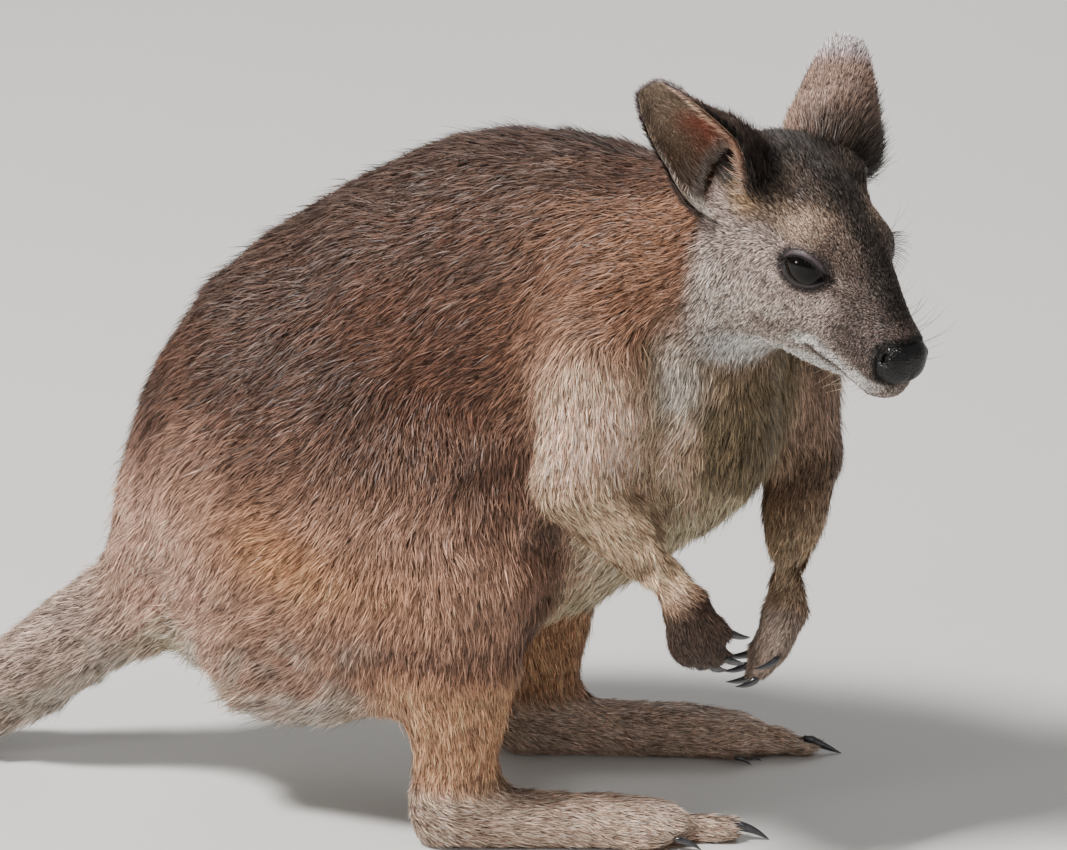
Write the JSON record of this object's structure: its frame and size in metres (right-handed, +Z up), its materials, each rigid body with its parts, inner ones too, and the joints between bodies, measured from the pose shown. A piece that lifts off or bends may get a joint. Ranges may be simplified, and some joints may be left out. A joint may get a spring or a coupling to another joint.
{
  "type": "wallaby",
  "caption": "Life-size still model of a small furred wallaby, crouched on its hind feet and tail with forepaws hanging and head turned to its right.",
  "frame": {"origin": "centre of the model's footprint box, on the floor it stands on", "axes": "+X from the tail to the toes, +Y to the animal's left, +Z up"},
  "size_m": [0.7478, 0.2148, 0.3639],
  "materials": {
    "fur": "soft grizzled brown coat, cream throat, chest and belly, white lip stripe",
    "eye": "wet glossy black-brown",
    "nose": "damp black, finely pebbled",
    "claw": "smooth dark horn"
  },
  "bodies": {
    "root": {"head": "fur", "nose": "nose", "neck": "fur", "trunk": "fur", "tail_base": "fur", "tail_middle": "fur", "tail_tip": "fur", "ear_right": "fur", "eye_right": "eye", "upper_arm_right": "fur", "forearm_right": "fur", "hand_right": "fur", "finger_claw_thumb_right": "claw", "finger_claw_index_right": "claw", "finger_claw_middle_right": "claw", "finger_claw_ring_right": "claw", "finger_claw_little_right": "claw", "thigh_right": "fur", "shank_right": "fur", "foot_right": "fur", "toe_claw_fourth_right": "claw", "toe_claw_fifth_right": "claw", "toe_claw_third_right": "claw", "toe_claw_second_right": "claw", "ear_left": "fur", "eye_left": "eye", "upper_arm_left": "fur", "forearm_left": "fur", "hand_left": "fur", "finger_claw_thumb_left": "claw", "finger_claw_index_left": "claw", "finger_claw_middle_left": "claw", "finger_claw_ring_left": "claw", "finger_claw_little_left": "claw", "thigh_left": "fur", "shank_left": "fur", "foot_left": "fur", "toe_claw_fourth_left": "claw", "toe_claw_fifth_left": "claw", "toe_claw_third_left": "claw", "toe_claw_second_left": "claw"}
  },
  "joints": []
}
